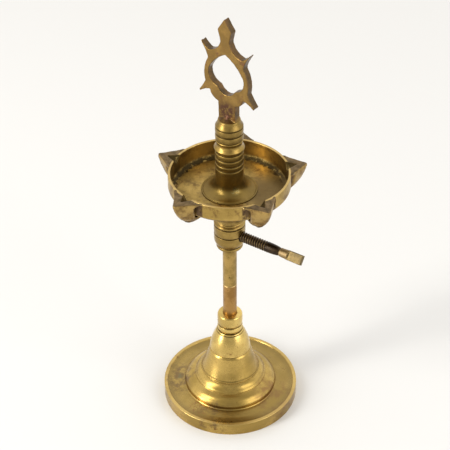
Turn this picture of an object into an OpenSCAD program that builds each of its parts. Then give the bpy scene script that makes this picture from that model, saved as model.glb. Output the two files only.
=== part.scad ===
// Standing brass oil lamp: a hollow foot, a two-length rod, a five-spouted oil dish
// that slides on the rod, a side screw that clamps it, and an openwork finial.
// Millimetres. +Z runs up the rod from the floor, +X runs out along the clamp screw.

/* [Foot] */
// Radius of the foot's rim
foot_r = 40; // [38:0.5:44]
// Height of the foot's rim
rim_h = 7.9; // [7:0.1:8.6]
// Radius of the domed step in the middle of the foot
lip_r = 27.4; // [26:0.2:29]
// Height of the cast foot
foot_h = 34.5; // [33:0.5:38]
// Height of the turned neck above the cast foot
neck_h = 26.4; // [26:0.2:32]

/* [Rod] */
// Diameter of the rod
rod_d = 8; // [7:0.1:8.4]
// Height of the join between the two lengths of rod
rod_join_z = 82.5; // [74:0.5:92]

/* [Clamp collar] */
// Height of the collar's lower edge with the dish at the top of its travel
collar_z = 108.2; // [100:0.2:120]
// Greatest radius of the collar
collar_r = 8.8; // [8.4:0.1:10]

/* [Clamp screw] */
// Diameter over the thread
screw_d = 6; // [5:0.1:6.4]
// Distance from the rod's side to the end of the shank
screw_len = 29.2; // [24:0.2:34]
// Length of the brass key on the shank
key_len = 14.4; // [12:0.2:18]
// Width of the key's flat end
key_w = 5.6; // [4.6:0.1:7]
// Turn of the key's flat end up from level, in degrees
key_turn = 51; // [0:1:180]

/* [Oil dish] */
// Inside radius of the dish
dish_r = 32; // [30:0.5:36]
// Wall of the dish at its rim
dish_wall = 1.5; // [1.2:0.1:2]
// Depth of the dish inside
dish_depth = 11.1; // [9:0.1:12]
// Number of wick spouts
spouts = 5; // [3:1:5]
// Distance that a spout's tip stands out past the inside of the dish
spout_reach = 11.2; // [9:0.1:13]
// Half of a spout's width where it leaves the dish
spout_w = 8.4; // [7:0.1:9]

/* [Hub column] */
// Radius of the flange on the dish's floor
flange_r = 15.5; // [13:0.1:18]
// Radius of the plain part of the column
hub_r = 7.7; // [7.2:0.1:8.4]

/* [Finial] */
// Radius of the finial's turned base
finial_r = 7.55; // [7:0.05:8.2]
// Thickness of the openwork plate
plate_t = 4; // [3:0.1:5]
// Turn of the plate from the screw's direction, in degrees
plate_turn = -4.7; // [-30:0.1:30]
// Lean of the plate within its own plane, in degrees
plate_lean = -1.6; // [-4:0.1:4]

/* [Hidden] */

$fn = 96;
rod_r = rod_d / 2;
run_gap = 0.06;         // radial running gap of what slides or turns on the rod
rest_gap = 0.1;         // gap between pieces that rest on each other
fit_gap = 0.03;         // radial gap of a screwed spigot in its socket

spigot_r = 4.8;         // the neck's spigot in the foot
spigot_h = 7.4;
socket_h = 20;          // depth of the rod in the neck
rod_spigot_r = 2.4;     // join between the rod's two lengths
rod_spigot_h = 9;

collar_h = 21.1;
screw_z = collar_z + 11.6;
screw_r = screw_d / 2;
screw_x = rod_r + 0.05; // the screw's tip stops against the rod
shank_end = rod_r + screw_len;
shank_taper = 8;        // plain tapered length behind the thread
pin_r = 1.5;            // turned pin on the shank that carries the key
pin_h = 4;

dish_z = collar_z + collar_h + rest_gap;
boss_h = 5.2;           // cove and ring under the dish
floor_z = dish_z + 19.9;
rim_z = floor_z + dish_depth;
wall_h = 7.6;           // straight part of the dish's outside
hub_spigot_r = 6;       // the column's spigot in the dish
hub_spigot_h = 5;

hub_h = 32.9;
finial_z = floor_z + hub_h + 0.2;
finial_bore_h = 11;     // depth of the rod in the finial
ledge_h = 12.2;         // where the finial's flats start
finial_neck_r = 5.65;   // thin neck between the turned base and the openwork

// Points of a shallow curve from p to q that stands b off the straight line, to the
// right of the way from p to q when b is positive.
function bow(p, q, b, n = 8) =
    let (d = q - p, side = [d[1], -d[0]] / norm(d))
    [for (i = [0:n]) let (t = i / n) p + t * d + 4 * b * t * (1 - t) * side];

// The same outline mirrored about the line x = 0 and joined to itself.
function both_sides(half) = concat(half, [for (i = [len(half) - 1:-1:0]) [-half[i][0], half[i][1]]]);

// As above, about the line y = 0.
function both_sides_y(half) = concat(half, [for (i = [len(half) - 1:-1:0]) [half[i][0], -half[i][1]]]);

// A round groove of radius g cut into a turned face of radius r at height z.
module groove(r, z, g) translate([0, 0, z]) rotate_extrude() translate([r, 0]) circle(g, $fn = 24);

module brass() color([0.66, 0.52, 0.26]) children();

module foot_plate() brass() {
    step_r = lip_r - 6.4;
    step_z = rim_h + 6.6;
    ring_r = lip_r - 10.3;
    ring_z = rim_h + 12.2;
    outside = concat(
        [[spigot_r + fit_gap, foot_h], [spigot_r + fit_gap, foot_h - spigot_h]],
        // hollow underside
        bow([11.4 - 3.2, foot_h - spigot_h], [ring_r - 3, ring_z - 4.4], 0.4),
        bow([step_r - 1.5, rim_h + 1.6], [lip_r - 1, rim_h - 3], -0.4),
        [[foot_r - 5, rim_h - 3.4], [foot_r - 3.6, 0]],
        // rim and dished plate
        [[foot_r, 0], [foot_r, rim_h - 0.6], [foot_r - 0.5, rim_h]],
        [[foot_r - 1.4, rim_h]],
        bow([foot_r - 2.2, rim_h - 0.6], [lip_r + 1, rim_h], -0.5),
        // two domed steps
        [[lip_r + 0.2, rim_h - 0.2], [lip_r, rim_h + 2]],
        bow([lip_r - 0.2, rim_h + 2.6], [step_r + 0.5, step_z - 0.7], 0.9),
        bow([step_r, step_z], [ring_r + 0.7, ring_z - 1.6], 0.5),
        // fine double ring
        [[ring_r + 0.3, ring_z - 1.3], [ring_r + 0.5, ring_z - 0.7], [ring_r + 0.2, ring_z]],
        [[ring_r - 0.2, ring_z + 0.4]],
        // flare up to the neck
        bow([ring_r - 0.1, ring_z + 0.9], [12.3, foot_h - 0.8], -0.4),
        [[11.7, foot_h]]);
    rotate_extrude() polygon(outside);
}

module foot_neck() brass() difference() {
    bell_h = 13;
    outline = concat(
        [[0, -spigot_h], [spigot_r, -spigot_h], [spigot_r, 0], [11.6, 0], [12.1, 0.5]],
        bow([12.1, 0.9], [8.1, bell_h], 1.1, 12),
        // ringed top
        [[7.5, bell_h + 0.8], [7.1, bell_h + 1.6]],
        bow([7, bell_h + 2.1], [7, bell_h + 5], 0.6),
        bow([7, bell_h + 5.9], [7.2, bell_h + 7], 0.2, 4),
        [[7.3, neck_h - 1.3], [6.8, neck_h - 0.6]],
        [[rod_r + 0.6, neck_h], [0, neck_h]]);
    translate([0, 0, foot_h]) rotate_extrude() polygon(outline);
    translate([0, 0, foot_h + neck_h - socket_h]) cylinder(h = socket_h + 1, r = rod_r + fit_gap);
}

module lower_rod() color([0.64, 0.44, 0.25]) translate([0, 0, foot_h + neck_h - socket_h]) {
    h = rod_join_z - foot_h - neck_h + socket_h;
    cylinder(h = h, r = rod_r);
    cylinder(h = h + rod_spigot_h, r = rod_spigot_r);
}

module upper_rod() brass() difference() {
    h = finial_z + finial_bore_h - 0.4 - rod_join_z;
    translate([0, 0, rod_join_z]) cylinder(h = h, r = rod_r);
    translate([0, 0, rod_join_z - 1]) cylinder(h = rod_spigot_h + 1.4, r = rod_spigot_r + fit_gap);
}

module clamp_collar() brass() difference() {
    neck_r = rod_r + 0.9;
    ring_r = collar_r - 1.5;
    outline = concat(
        [[0, 0], [neck_r, 0], [neck_r + 0.2, 1.2], [ring_r - 0.4, 1.9]],
        // bottom ring with a groove over it
        bow([ring_r, 2.3], [ring_r, 3.7], 0.15, 6),
        [[ring_r - 0.4, 4], [ring_r - 0.4, 4.4]],
        bow([ring_r + 0.2, 4.7], [collar_r, 8.8], 0.4),
        [[collar_r, 17.6], [collar_r - 0.2, 18.6]],
        bow([collar_r - 0.2, 19], [collar_r - 0.3, collar_h - 0.3], 0.3, 4),
        [[collar_r - 0.6, collar_h], [0, collar_h]]);
    translate([0, 0, collar_z]) rotate_extrude() polygon(outline);
    for (z = [12.1, 17.9]) groove(collar_r + 0.1, collar_z + z, 0.5);
    translate([0, 0, collar_z - 1]) cylinder(h = collar_h + 2, r = rod_r + run_gap);
    translate([0, 0, screw_z]) rotate([0, 90, 0]) cylinder(h = collar_r + 4, r = screw_r + run_gap);
}

module clamp_screw() color([0.17, 0.12, 0.08]) translate([0, 0, screw_z]) rotate([0, 90, 0]) {
    outline = [[0, screw_x], [screw_r - 0.8, screw_x], [screw_r, screw_x + 0.8],
               [screw_r, shank_end - shank_taper], [screw_r - 0.7, shank_end],
               [pin_r, shank_end], [pin_r, shank_end + pin_h], [0, shank_end + pin_h]];
    rotate_extrude() polygon(outline);
}

module screw_key() color([0.6, 0.5, 0.28]) translate([shank_end + 0.05, 0, screw_z]) difference() {
    barrel_h = 5.8;
    tab_t = 3;
    union() {
        rotate([0, 90, 0]) cylinder(h = barrel_h, r1 = 2.3, r2 = 2.6);
        rotate([key_turn, 0, 0]) rotate([0, 90, 0]) translate([0, 0, barrel_h - 0.4])
            linear_extrude(key_len - barrel_h + 0.4) square([tab_t, key_w], center = true);
    }
    rotate([0, 90, 0]) translate([0, 0, -1]) cylinder(h = pin_h + 1.2, r = pin_r + fit_gap);
}

// One spout: where a pointed plan, a keel seen from the side and a wedge seen from the
// front all meet.
module spout() {
    root = dish_r + dish_wall / 2;
    tip = dish_r + spout_reach;
    low = 16.4;
    intersection() {
        translate([0, 0, rim_z - low]) linear_extrude(low) polygon(both_sides_y(concat(
            [[root - 12, spout_w * 0.8], [root + 1, spout_w]],
            bow([root + 1.6, spout_w - 0.8], [tip, 0.7], -0.5, 4))));
        translate([0, spout_w, rim_z]) rotate([90, 0, 0]) linear_extrude(spout_w * 2) polygon(concat(
            [[root - 12, 0], [tip, 0]],
            bow([tip, -1.4], [root - 0.4, -low], 1.4),
            [[root - 12, 4 - low]]));
        translate([0, 0, rim_z]) rotate([90, 0, 90]) linear_extrude(tip + 1) polygon(both_sides(concat(
            [[spout_w, 0]], bow([spout_w, -3], [1, -low], 2.4))));
    }
}

// The wick's channel: a notch cut slanting up and out, which ends in a point on the spout.
module notch() {
    far = dish_r + spout_reach - 4.8;
    deep = 3.8;
    slope = atan(deep / (far - dish_r));
    side = 8;
    translate([far, 0, 0]) rotate([0, -90 - slope, 0]) linear_extrude(9)
        polygon([[0, 0], [side, side * 0.9], [side, -side * 0.9]]);
}

module oil_dish() brass() {
    out_r = dish_r + dish_wall;
    under = floor_z - dish_z;
    inside = concat(
        [[dish_r, under + dish_depth + 1], [dish_r, under + 2.4]],
        bow([dish_r, under + 2.4], [dish_r - 2.4, under], -0.6, 5));
    outline = concat(
        [[0, 0], [8.2, 0], [8.5, 0.4]],
        bow([8.5, 0.4], [8.6, 3.2], -0.3, 5),
        [[9.4, 3.8], [9.4, boss_h]],
        bow([9.5, boss_h + 0.4], [17, under - 5.6], -1.4),
        bow([17, under - 5.6], [out_r - 1.6, under + dish_depth - wall_h - 2.2], 0.8),
        bow([out_r - 1.6, under + dish_depth - wall_h - 2.2], [out_r, under + dish_depth - wall_h], 0.4, 4),
        [[out_r, under + dish_depth], [0, under + dish_depth]]);
    difference() {
        union() {
            translate([0, 0, dish_z]) rotate_extrude() polygon(outline);
            for (i = [0:spouts - 1]) rotate(45 + i * 360 / spouts) {
                spout();
                for (side = [-1, 1]) rotate(side * 16) translate([out_r, 0, rim_z - 8.6])
                    linear_extrude(8.6) polygon([[-1, -1.5], [1.3, 0], [-1, 1.5]]);
            }
        }
        translate([0, 0, dish_z]) rotate_extrude()
            polygon(concat([[0, under + dish_depth + 1]], inside, [[0, under]]));
        for (i = [0:spouts - 1]) rotate(45 + i * 360 / spouts) translate([0, 0, rim_z]) notch();
        translate([0, 0, dish_z - 1]) cylinder(h = under + 2, r = rod_r + run_gap);
        translate([0, 0, floor_z - hub_spigot_h - 0.1]) cylinder(h = 9, r = hub_spigot_r + fit_gap);
    }
}

module hub_column() brass() difference() {
    column_h = 28.7;
    outline = concat(
        [[0, -hub_spigot_h], [hub_spigot_r, -hub_spigot_h], [hub_spigot_r, 0], [flange_r, 0]],
        [[flange_r, 0.3], [flange_r - 0.5, 0.5], [flange_r - 0.9, 0.4], [flange_r - 1.4, 0.7]],
        bow([flange_r - 1.4, 0.7], [hub_r, 7.4], -2.1, 12),
        [[hub_r, column_h - 2], [hub_r + 0.4, column_h - 1.7]],
        [[hub_r + 0.4, column_h - 0.5], [hub_r, column_h]],
        bow([hub_r - 0.1, column_h], [hub_r - 0.1, hub_h - 0.3], -0.5, 6),
        [[hub_r - 0.3, hub_h], [0, hub_h]]);
    translate([0, 0, floor_z]) rotate_extrude() polygon(outline);
    for (z = [15.4, 18.5, 22.1, 25.6]) groove(hub_r + 0.15, floor_z + z, 0.6);
    translate([0, 0, floor_z - hub_spigot_h - 1]) cylinder(h = hub_h + hub_spigot_h + 2, r = rod_r + run_gap);
}

// Openwork of the finial, drawn upright with y as height above the finial's seat.
module openwork() {
    top = 70.7;
    outer = concat(
        [[0, top], [4.4, top - 6.4], [3, top - 11.6]],
        bow([2.9, top - 13.2], [10.6, top - 19.9], 1.5),
        bow([10.6, top - 19.9], [15.2, top - 16.1], 0.5, 4),
        bow([15, top - 16.6], [11.6, top - 23.7], 0.5, 5),
        bow([11.6, top - 25], [14, top - 39.6], -1.5),
        bow([14, top - 39.6], [18, top - 46], 0.3, 4),
        bow([17.6, top - 46.4], [11.5, top - 43.4], 0.6, 5),
        bow([11.5, top - 43.4], [finial_neck_r, top - 48.8], -1.2),
        [[finial_neck_r, ledge_h - 1]]);
    hole = concat(
        bow([0, top - 20], [11.4, top - 31], -1.3),
        bow([11.6, top - 32.6], [6.2, top - 39.8], -1.7),
        bow([5.6, top - 40], [0, top - 43.8], -0.9));
    difference() {
        polygon(both_sides(outer));
        polygon(both_sides(hole));
    }
}

module finial() brass() translate([0, 0, finial_z]) difference() {
    cone_z = 8.6;
    ledge_r = finial_neck_r + 0.4;
    outline = concat(
        [[0, 0], [finial_r - 0.3, 0], [finial_r, 0.4], [finial_r, cone_z - 0.2]],
        bow([finial_r - 0.15, cone_z], [ledge_r, ledge_h - 0.3], -0.2, 6),
        [[ledge_r - 0.3, ledge_h], [0, ledge_h]]);
    union() {
        rotate_extrude() polygon(outline);
        rotate(plate_turn) translate([0, plate_t / 2, ledge_h]) rotate([0, plate_lean, 0])
            rotate([90, 0, 0]) linear_extrude(plate_t) translate([0, -ledge_h]) openwork();
    }
    for (z = [3.8, 7.7]) groove(finial_r + 0.15, z, 0.6);
    translate([0, 0, -1]) cylinder(h = finial_bore_h + 1, r = rod_r + run_gap);
}

foot_plate();
foot_neck();
lower_rod();
upper_rod();
clamp_collar();
oil_dish();
hub_column();
clamp_screw();
screw_key();
finial();
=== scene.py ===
# Brass standing oil lamp: foot, neck, two-length rod, clamp collar with its screw,
# five-spouted oil dish with the column in it, and an openwork finial.
# Lengths in the dictionaries are millimetres; meshes are built in metres.
import math
import bmesh
import bpy
from mathutils import Matrix, Vector, noise


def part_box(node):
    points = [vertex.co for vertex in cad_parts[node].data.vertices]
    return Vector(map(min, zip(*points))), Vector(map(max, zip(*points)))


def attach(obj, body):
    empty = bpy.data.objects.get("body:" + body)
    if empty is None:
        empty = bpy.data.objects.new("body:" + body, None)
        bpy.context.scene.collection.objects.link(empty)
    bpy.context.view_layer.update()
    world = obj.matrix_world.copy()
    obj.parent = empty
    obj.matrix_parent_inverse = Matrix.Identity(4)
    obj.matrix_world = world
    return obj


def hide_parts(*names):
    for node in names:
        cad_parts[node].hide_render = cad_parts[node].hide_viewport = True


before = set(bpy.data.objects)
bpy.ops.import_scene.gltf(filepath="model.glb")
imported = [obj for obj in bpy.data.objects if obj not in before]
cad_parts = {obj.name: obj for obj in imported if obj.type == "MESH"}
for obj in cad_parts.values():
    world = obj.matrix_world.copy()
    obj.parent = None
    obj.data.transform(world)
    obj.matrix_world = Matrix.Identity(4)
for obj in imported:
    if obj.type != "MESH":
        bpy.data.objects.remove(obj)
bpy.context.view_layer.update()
scene = bpy.context.scene
mm = 0.001


cameraPlace = {
    "eye": (0.3390, -0.5023, 0.5812),
    "lens": 109.007,          # on a 36 mm sensor
    "heading": 34.26,         # degrees from +Y, towards -X
    "tilt": 52.987,           # degrees up from straight down
    "roll": -0.381,
}


def placeCamera(place):
    eye = bpy.data.objects.new("camera", bpy.data.cameras.new("camera"))
    scene.collection.objects.link(eye)
    eye.data.lens = place["lens"]
    eye.data.sensor_width = 36
    eye.data.clip_start = 0.05
    eye.matrix_world = (Matrix.Translation(place["eye"])
                        @ Matrix.Rotation(math.radians(place["heading"]), 4, "Z")
                        @ Matrix.Rotation(math.radians(place["tilt"]), 4, "X")
                        @ Matrix.Rotation(math.radians(place["roll"]), 4, "Z"))
    scene.camera = eye


studio = {
    "floorSize": 9.0,                    # metres
    "floorColour": (0.785, 0.783, 0.779),
    "skyBright": (1.0, 0.985, 0.96),     # behind the lamp and beside it
    "skyDim": (0.50, 0.485, 0.45),        # the unlit side of the room
    "skyStrength": 1.13,
    "dimSide": (0.49, -0.716, 0.5),      # direction of the unlit side
    # upright lights: the way to each on the floor, metres off, width and height, height of the lower edge
    "lights": {
        "windowLeft": {"way": (-0.511, -0.859), "distance": 1.3, "size": (0.30, 1.9), "sill": 0.01,
                       "power": 22, "colour": (1.0, 0.98, 0.93)},
        "windowRight": {"way": (1.0, -0.013), "distance": 1.7, "size": (1.1, 1.7), "sill": 0.15,
                        "power": 15, "colour": (1.0, 0.98, 0.95)},
    },
}


def lightStudio(room):
    floor = bmesh.new()
    bmesh.ops.create_grid(floor, x_segments=8, y_segments=8, size=room["floorSize"] / 2)
    surface = bpy.data.meshes.new("studioFloor")
    floor.to_mesh(surface)
    floor.free()
    sheet = bpy.data.objects.new("studioFloor", surface)
    scene.collection.objects.link(sheet)
    paint = bpy.data.materials.new("palePaint")
    paint.use_nodes = True
    skin = paint.node_tree.nodes["Principled BSDF"]
    skin.inputs["Base Color"].default_value = (*room["floorColour"], 1)
    skin.inputs["Roughness"].default_value = 0.9
    skin.inputs["Specular IOR Level"].default_value = 0.1
    surface.materials.append(paint)

    for name, lamp in room["lights"].items():
        glow = bpy.data.objects.new(name, bpy.data.lights.new(name, "AREA"))
        scene.collection.objects.link(glow)
        glow.data.shape = "RECTANGLE"
        glow.data.size, glow.data.size_y = lamp["size"]
        glow.data.energy = lamp["power"]
        glow.data.color = lamp["colour"]
        away = Vector((*lamp["way"], 0)).normalized()
        middle = Vector((0, 0, lamp["sill"] + lamp["size"][1] / 2))
        glow.matrix_world = (Matrix.Translation(away * lamp["distance"] + middle)
                             @ away.to_track_quat("Z", "Y").to_matrix().to_4x4())

    sky = bpy.data.worlds.new("softRoom")
    scene.world = sky
    sky.use_nodes = True
    tree = sky.node_tree
    tree.nodes.clear()
    where = tree.nodes.new("ShaderNodeTexCoord")
    facing = tree.nodes.new("ShaderNodeVectorMath")
    facing.operation = "DOT_PRODUCT"
    facing.inputs[1].default_value = Vector(room["dimSide"]).normalized()
    tree.links.new(where.outputs["Generated"], facing.inputs[0])
    ease = tree.nodes.new("ShaderNodeMapRange")
    ease.interpolation_type = "SMOOTHSTEP"
    ease.inputs["From Min"].default_value = 0.15
    ease.inputs["From Max"].default_value = 0.80
    tree.links.new(facing.outputs["Value"], ease.inputs["Value"])
    blend = tree.nodes.new("ShaderNodeMix")
    blend.data_type = "RGBA"
    blend.inputs[6].default_value = (*room["skyBright"], 1)
    blend.inputs[7].default_value = (*room["skyDim"], 1)
    tree.links.new(ease.outputs["Result"], blend.inputs[0])
    back = tree.nodes.new("ShaderNodeBackground")
    back.inputs["Strength"].default_value = room["skyStrength"]
    tree.links.new(blend.outputs[2], back.inputs["Color"])
    out = tree.nodes.new("ShaderNodeOutputWorld")
    tree.links.new(back.outputs["Background"], out.inputs["Surface"])
    scene.view_settings.view_transform = "Standard"


placeCamera(cameraPlace)
lightStudio(studio)
print("camera, floor and light are set")


def startFinish(name):
    material = bpy.data.materials.new(name)
    material.use_nodes = True
    return material, material.node_tree


def add(tree, kind, inputs=None, **settings):
    made = tree.nodes.new("ShaderNode" + kind)
    for key, value in settings.items():
        setattr(made, key, value)
    for key, value in (inputs or {}).items():
        if isinstance(value, bpy.types.NodeSocket):
            tree.links.new(value, made.inputs[key])
        else:
            made.inputs[key].default_value = value
    return made


def calc(tree, operation, first, second=0.0, third=0.0):
    return add(tree, "Math", {0: first, 1: second, 2: third}, operation=operation).outputs[0]


def step(tree, value, low, high):
    # 0 below low, 1 above high, eased between them
    return add(tree, "MapRange", {"Value": value, "From Min": low, "From Max": high},
               interpolation_type="SMOOTHSTEP").outputs["Result"]


def tint(tree, amount, under, over, way="MIX"):
    under = (*under, 1) if isinstance(under, tuple) else under
    over = (*over, 1) if isinstance(over, tuple) else over
    return add(tree, "Mix", {0: amount, 6: under, 7: over},
               data_type="RGBA", blend_type=way).outputs[2]


def grain(tree, point, size, detail=3.0, rough=0.55):
    # size is the width of one patch in mm
    return add(tree, "TexNoise", {"Vector": point, "Scale": 1 / (size * mm), "Detail": detail,
                                  "Roughness": rough}).outputs["Fac"]


def axisPoint(tree, axis="Z", centre=(0, 0, 0)):
    # the point on the piece, with the turning axis laid along Z
    point = add(tree, "TexCoord").outputs["Object"]
    if axis == "X":
        point = add(tree, "Mapping", {"Vector": point, "Location": (centre[2], 0, 0),
                                      "Rotation": (0, -math.pi / 2, 0)}).outputs["Vector"]
    parts = add(tree, "SeparateXYZ", {"Vector": point})
    flat = add(tree, "VectorMath", {0: point, 1: (1, 1, 0)}, operation="MULTIPLY").outputs[0]
    radius = add(tree, "VectorMath", {0: flat}, operation="LENGTH").outputs["Value"]
    return point, radius, parts.outputs["Z"]


def patch(tree, point, place, size):
    # a soft round patch of a real stain, 1 at its middle
    gap = add(tree, "VectorMath", {0: point, 1: tuple(v * mm for v in place)},
              operation="DISTANCE").outputs["Value"]
    return step(tree, gap, size * mm, size * 0.35 * mm)


def brassFinish(name, look, axis="Z", centre=(0, 0, 0)):
    material, tree = startFinish(name)
    point, radius, along = axisPoint(tree, axis, centre)

    # colour: gold under an olive or coppery film, then blotches and fine specks
    film = step(tree, grain(tree, point, look["filmSize"], 4.0, 0.6), *look["filmEdge"])
    colour = tint(tree, film, look["gold"], look["film"])
    blotch = step(tree, grain(tree, point, look["blotchSize"], 5.0, 0.7), *look["blotchEdge"])
    colour = tint(tree, blotch, colour, look["blotch"])
    speck = grain(tree, point, 0.5, 3.0, 0.6)
    colour = tint(tree, 0.35, colour, tint(tree, speck, (0.25, 0.22, 0.18), (0.85, 0.82, 0.78)), "OVERLAY")

    # turning marks: fine rings about the axis, broken a little around it
    drift = grain(tree, point, 6.0, 1.0)
    lathe = add(tree, "CombineXYZ", {0: calc(tree, "MULTIPLY", drift, 0.0003),
                                     1: radius, 2: along}).outputs[0]
    rings = grain(tree, lathe, look["ringWidth"], 2.0, 0.6)
    ringed = tint(tree, rings, (0.2, 0.2, 0.2), (0.8, 0.8, 0.8))
    colour = tint(tree, look["rings"] * 0.5, colour, ringed, "OVERLAY")

    for spot in look.get("spots", []):
        mask = calc(tree, "MULTIPLY", patch(tree, point, spot["at"], spot["size"]),
                    step(tree, grain(tree, point, spot["grain"], 4.0, 0.7), *spot["edge"]))
        colour = tint(tree, mask, colour, spot["colour"])

    # grime and painted shade in the grooves and corners, from an occlusion mask
    shut = add(tree, "AmbientOcclusion", {"Distance": look["grimeReach"] * mm},
               samples=6, only_local=look["ownShade"]).outputs["AO"]
    grime = calc(tree, "MULTIPLY", step(tree, shut, *look["grimeEdge"]), look["grimeDepth"])
    # groove heights that get a dark line of painted shade and grime
    for height in look.get("packed", []):   # turned grooves that are packed with it
        gap = calc(tree, "ABSOLUTE", calc(tree, "SUBTRACT", along, height * mm))
        line = calc(tree, "MULTIPLY", step(tree, gap, 0.5 * mm, 0.22 * mm), look["packedDepth"])
        grime = calc(tree, "MAXIMUM", grime, line)
    colour = tint(tree, grime, colour, look["grime"])

    mottled = calc(tree, "MULTIPLY", grain(tree, point, 3.0, 4.0, 0.6), 0.75)
    uneven = calc(tree, "MULTIPLY_ADD", film, 0.25, mottled)
    rough = add(tree, "MapRange", {"Value": calc(tree, "MULTIPLY_ADD", grime, 0.6, uneven),
                                   "From Min": 0.2, "From Max": 1.0,
                                   "To Min": look["rough"][0], "To Max": look["rough"][1]}).outputs["Result"]

    lift = calc(tree, "ADD", calc(tree, "MULTIPLY", rings, look["rings"]),
                calc(tree, "MULTIPLY", grain(tree, point, look["pitSize"], 4.0, 0.65), look["pits"]))
    bump = add(tree, "Bump", {"Strength": 0.6, "Distance": 0.05 * mm, "Height": lift}).outputs["Normal"]

    skin = tree.nodes["Principled BSDF"]
    for key, value in {"Base Color": colour, "Roughness": rough, "Normal": bump}.items():
        tree.links.new(value, skin.inputs[key])
    skin.inputs["Metallic"].default_value = 1.0
    skin.inputs["Coat Weight"].default_value = look["lacquer"]
    skin.inputs["Coat Roughness"].default_value = 0.25
    return material, tree, {"point": point, "radius": radius, "along": along,
                            "colour": colour, "rough": rough, "skin": skin}


def wear(tree, parts, amount, colour):
    # lays a colour over the finish where amount is above 0
    tree.links.new(tint(tree, amount, parts["colour"], colour), parts["skin"].inputs["Base Color"])


turnedBrass = {
    "gold": (0.52, 0.362, 0.108), "film": (0.36, 0.245, 0.064), "filmSize": 22, "filmEdge": (0.36, 0.60),
    "blotch": (0.22, 0.115, 0.035), "blotchSize": 7, "blotchEdge": (0.60, 0.72),
    "rings": 0.5, "ringWidth": 0.45,
    "grime": (0.05, 0.03, 0.008), "grimeReach": 1.4, "grimeEdge": (0.75, 0.35), "grimeDepth": 0.85,
    "rough": (0.20, 0.42), "pits": 0.4, "pitSize": 0.8, "lacquer": 0.12, "ownShade": True,
    "packedDepth": 0.85,
}


def likeTurned(**changes):
    return {**turnedBrass, **changes}


def bowed(start, end, rise, count=8):
    # points of a shallow curve from start to end that stands rise off the straight line
    (r0, z0), (r1, z1) = start, end
    long = math.hypot(r1 - r0, z1 - z0)
    side = ((z1 - z0) / long, (r0 - r1) / long)
    points = []
    for i in range(count + 1):
        t = i / count
        out = 4 * rise * t * (1 - t)
        points.append((r0 + t * (r1 - r0) + out * side[0], z0 + t * (z1 - z0) + out * side[1]))
    return points


def finishedPiece(name, shape, material, body, slot, *nodes):
    for face in shape.faces:
        face.smooth = True
    mesh = bpy.data.meshes.new(name)
    shape.to_mesh(mesh)
    shape.free()
    mesh.materials.append(material)
    piece = bpy.data.objects.new(name, mesh)
    scene.collection.objects.link(piece)
    if body:
        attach(piece, body)
        if nodes:
            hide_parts(*nodes)
    return piece


def turned(outline, steps=144, soften=0.12, sharp=22):
    # spins an outline of (radius, height) about Z; the ring edges of its corners are eased
    shape = bmesh.new()
    ring = [shape.verts.new((r * mm, 0, z * mm)) for r, z in outline]
    edges = [shape.edges.new(pair) for pair in zip(ring, ring[1:] + ring[:1])
             if max(pair[0].co.x, pair[1].co.x) > 1e-7]
    bmesh.ops.spin(shape, geom=ring + edges, cent=(0, 0, 0), axis=(0, 0, 1), dvec=(0, 0, 0),
                   angle=math.tau, steps=steps, use_merge=True)
    bmesh.ops.remove_doubles(shape, verts=shape.verts, dist=2e-6)
    bmesh.ops.recalc_face_normals(shape, faces=shape.faces)
    if soften:
        corners = [e for e in shape.edges if len(e.link_faces) == 2
                   and abs(e.verts[0].co.z - e.verts[1].co.z) < 1e-7
                   and abs(e.verts[0].co.xy.length - e.verts[1].co.xy.length) < 1e-7
                   and e.calc_face_angle(0) > math.radians(sharp)]
        bmesh.ops.bevel(shape, geom=corners, offset=soften * mm, offset_type="OFFSET", segments=2,
                        profile=0.5, affect="EDGES", clamp_overlap=True, material=-1)
    return shape


def joined(*shapes):
    whole = shapes[0]
    for other in shapes[1:]:
        mesh = bpy.data.meshes.new("part")
        other.to_mesh(mesh)
        other.free()
        whole.from_mesh(mesh)
        bpy.data.meshes.remove(mesh)
    return whole


def evenShading(piece):
    even = piece.modifiers.new("evenShading", "WEIGHTED_NORMAL")
    even.keep_sharp = True
    return piece


def settle(piece):
    # makes the modifiers part of the mesh
    fresh = bpy.data.meshes.new_from_object(
        piece.evaluated_get(bpy.context.evaluated_depsgraph_get()))
    old = piece.data
    piece.modifiers.clear()
    piece.data = fresh
    bpy.data.meshes.remove(old)


def carve(piece, cutter):
    blank = bpy.data.materials.get("cut") or bpy.data.materials.new("cut")
    tool = finishedPiece("cutter", cutter, blank, None, None)
    cut = piece.modifiers.new("carve", "BOOLEAN")
    cut.operation = "DIFFERENCE"
    cut.solver = "EXACT"
    cut.object = tool
    bpy.context.view_layer.update()
    settle(piece)
    bpy.data.objects.remove(tool)


def castSkin(piece, grainSize, passes, waver=0.0):
    # one skin over joined solids, with edges rounded as a casting's are
    skin = piece.modifiers.new("skin", "REMESH")
    skin.mode = "VOXEL"
    skin.voxel_size = grainSize * mm
    bpy.context.view_layer.update()
    settle(piece)
    shape = bmesh.new()
    shape.from_mesh(piece.data)
    for _ in range(passes):
        bmesh.ops.smooth_vert(shape, verts=shape.verts, factor=0.5,
                              use_axis_x=True, use_axis_y=True, use_axis_z=True)
    if waver:
        shape.normal_update()
        for v in shape.verts:
            v.co += v.normal * waver * mm * (noise.noise(v.co * 350) + 0.5 * noise.noise(v.co * 900))
    for face in shape.faces:
        face.smooth = True
    shape.to_mesh(piece.data)
    shape.free()


def lowest(node):
    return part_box(node)[0].z / mm


def highest(node):
    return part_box(node)[1].z / mm


foot = {
    "rimR": 40, "rimH": 7.9,      # the rim it stands on
    "lipR": 27.3, "stepR": 21.2,  # the two domed steps
    "ringR": 17.1, "ringZ": 20.1, # fine double ring above them
    "topR": 12.2, "topZ": 34.5,
    "boreR": 4.83, "boreZ": 27.1, # the neck's spigot sits here
}


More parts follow.
